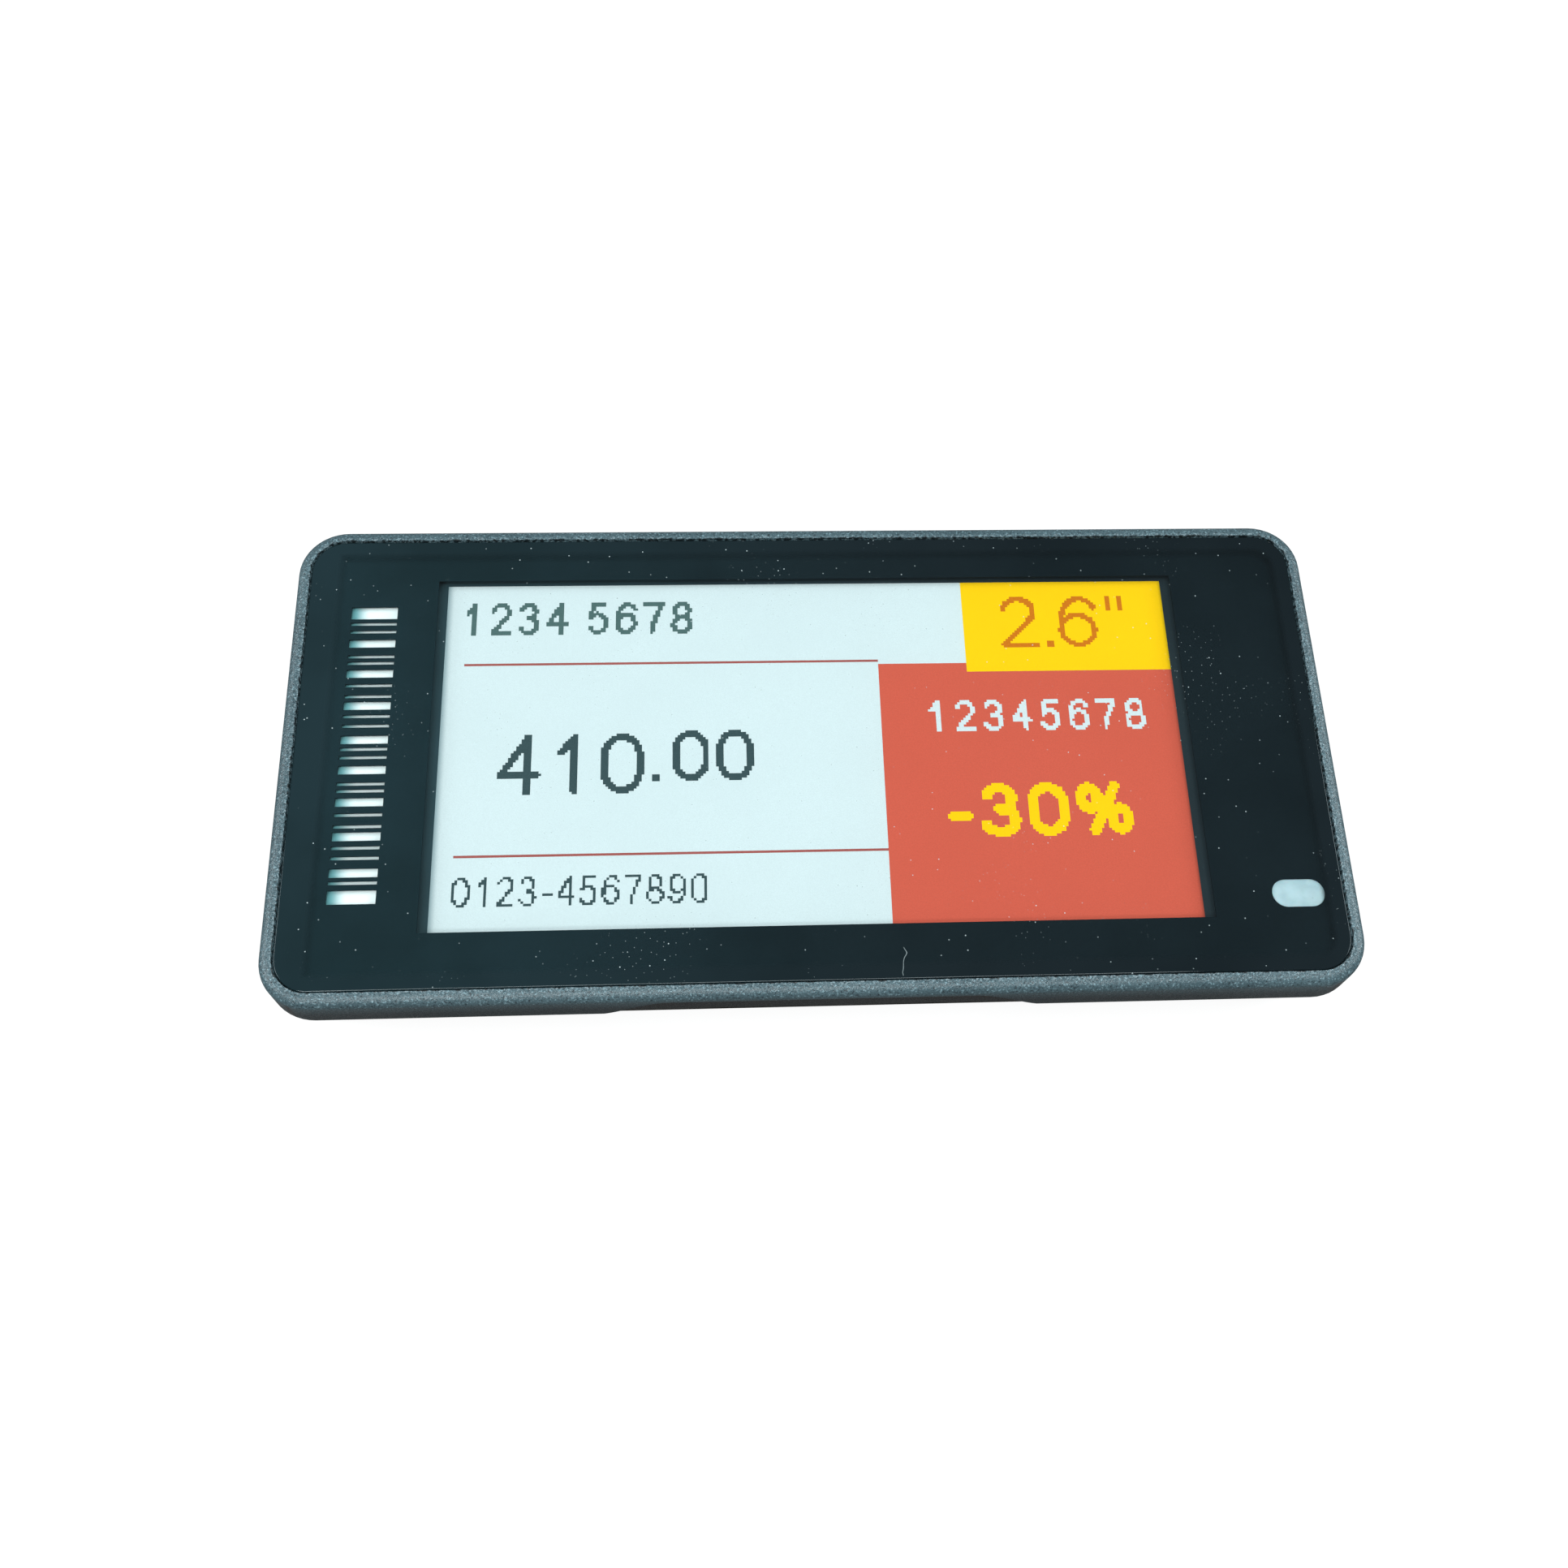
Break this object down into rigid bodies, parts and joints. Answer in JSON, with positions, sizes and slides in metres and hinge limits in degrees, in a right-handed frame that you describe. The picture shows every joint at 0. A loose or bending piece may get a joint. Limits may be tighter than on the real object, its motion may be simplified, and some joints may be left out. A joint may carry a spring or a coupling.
{
  "type": "electronic shelf label",
  "caption": "Battery-powered shelf label with a colour e-paper screen behind a black-masked lens, rail grooves on its back and a sliding battery door.",
  "frame": {"origin": "middle of the underside, on the plane that the label's back rests on", "axes": "+X along the width, +Y towards the label's upper edge, +Z out of the display face"},
  "size_m": [0.0834, 0.0408, 0.0106],
  "materials": {
    "frame_plastic": "fine satin grain",
    "lens_clear": "polished clear acrylic",
    "mask_print": "black screen print",
    "adhesive": "matt adhesive foam",
    "white_film": "matt white film",
    "light_pipe": "frosted pale plastic",
    "screen_film": "e-paper film",
    "display_glass": "thin-film glass",
    "chip_plastic": "moulded epoxy",
    "flex_film": "amber film",
    "foam": "closed-cell foam",
    "tray_plastic": "moulded satin",
    "board": "solder mask",
    "connector_plastic": "moulded",
    "lock_plastic": "moulded",
    "plated_steel": "nickel plated",
    "ferrite": "sintered ferrite",
    "ceramic": "ceramic",
    "copper": "copper trace",
    "cell_steel": "satin steel can",
    "contact_bronze": "sprung bronze strip",
    "rear_plastic": "smooth dark moulding",
    "door_plastic": "smooth dark moulding"
  },
  "bodies": {
    "housing": {"front_frame": "frame_plastic", "window_lens": "lens_clear", "lens_mask": "mask_print", "lens_gasket": "adhesive", "code_backing": "white_film", "light_guide": "light_pipe", "display_film": "screen_film", "display_glass": "display_glass", "driver_chip": "chip_plastic", "display_flex": "flex_film", "display_foam": "foam", "display_tray": "tray_plastic", "main_board": "board", "flex_connector": "connector_plastic", "flex_lock": "lock_plastic", "radio_chip": "chip_plastic", "memory_chip": "chip_plastic", "crystal": "plated_steel", "boost_coil": "ferrite", "capacitors": "ceramic", "antenna": "copper", "status_lamp": "light_pipe", "board_screws": "plated_steel", "cell_left": "cell_steel", "cell_right": "cell_steel", "negative_contacts": "contact_bronze", "positive_contacts": "contact_bronze", "rear_cover": "rear_plastic"},
    "door": {"battery_door": "door_plastic", "door_foam": "foam"}
  },
  "joints": [
    {"name": "door_slide", "type": "slide", "parent": "housing", "child": "door", "axis": [0, -1, 0], "range_m": [0, 0.03]}
  ]
}
